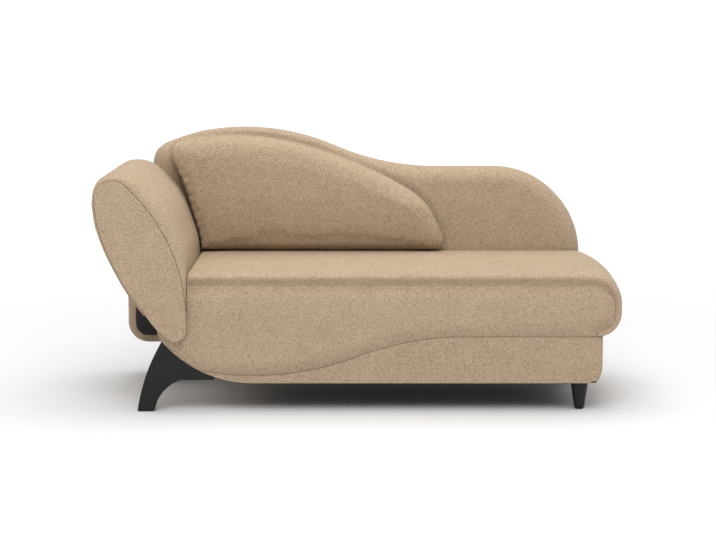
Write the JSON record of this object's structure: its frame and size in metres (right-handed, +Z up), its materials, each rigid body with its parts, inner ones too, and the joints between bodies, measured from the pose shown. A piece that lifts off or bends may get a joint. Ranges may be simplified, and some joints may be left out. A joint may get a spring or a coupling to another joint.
{
  "type": "upholstered lounger",
  "caption": "Upholstered recamiere with a rounded foot end, shaped padded back, loose back cushion and a lens-shaped head end that folds down on ratchet fittings; curved and tapered black legs.",
  "frame": {"origin": "on the floor, under the middle of the lounger's overall box", "axes": "+X along the lounger from the head end to the foot end, +Y from the front to the back, +Z up"},
  "size_m": [1.6799, 0.8, 0.872],
  "materials": {
    "upholstery": "speckled woven",
    "foam": "open-cell foam",
    "webbing": "woven elastic",
    "timber": "raw plywood and pine",
    "black_wood": "black satin lacquer",
    "steel": "zinc-plated",
    "dust_cloth": "non-woven",
    "glide": "matt"
  },
  "bodies": {
    "base": {"back_board": "timber", "back_bolts": "steel", "back_cushion": "upholstery", "back_pad": "upholstery", "back_rear_pad": "upholstery", "back_spacers": "timber", "back_studs": "timber", "base_front_board": "timber", "base_left_panel": "timber", "base_rear_board": "timber", "base_right_board": "timber", "corner_blocks": "timber", "cross_rails": "timber", "dust_cover": "dust_cloth", "end_roll_foam": "foam", "foot_bolts": "steel", "foot_front_right": "black_wood", "foot_rear_right": "black_wood", "front_apron": "upholstery", "glides": "glide", "hinge_plate_front": "steel", "hinge_plate_rear": "steel", "leg_blocks": "timber", "leg_bolts": "steel", "leg_front_left": "black_wood", "leg_rear_left": "black_wood", "pawl_pins": "steel", "pawl_spring_front": "steel", "pawl_spring_rear": "steel", "pivot_pins": "steel", "plate_screws": "steel", "plinth_cover": "upholstery", "plinth_end_cover": "upholstery", "seat_foam": "foam", "seat_left_rail": "timber", "seat_pad": "upholstery", "seat_webbing_cross": "webbing", "seat_webbing_long": "webbing"},
    "head_end": {"head_front_cheek": "timber", "head_rear_cheek": "timber", "head_rails": "timber", "head_inner_board": "timber", "head_inner_pad": "upholstery", "head_outer_cover": "upholstery", "head_front_panel": "upholstery", "head_rear_panel": "upholstery", "hinge_arm_front": "steel", "hinge_arm_rear": "steel", "arm_screws": "steel"},
    "pawl_front": {"pawl_front": "steel"},
    "pawl_rear": {"pawl_rear": "steel"}
  },
  "joints": [
    {"name": "head_tilt", "type": "hinge", "parent": "base", "child": "head_end", "pos_m": [-0.58, 0, 0.268], "axis": [0, -1, 0], "range_deg": [0, 60]},
    {"name": "pawl_front_swing", "type": "hinge", "parent": "base", "child": "pawl_front", "pos_m": [-0.534, -0.3559, 0.298], "axis": [0, -1, 0], "range_deg": [-9, 0]},
    {"name": "pawl_rear_swing", "type": "hinge", "parent": "base", "child": "pawl_rear", "pos_m": [-0.534, 0.2059, 0.298], "axis": [0, -1, 0], "range_deg": [-9, 0]}
  ],
  "couplings": [
    {"joint": "pawl_rear_swing", "follows": "pawl_front_swing", "ratio": 1}
  ]
}
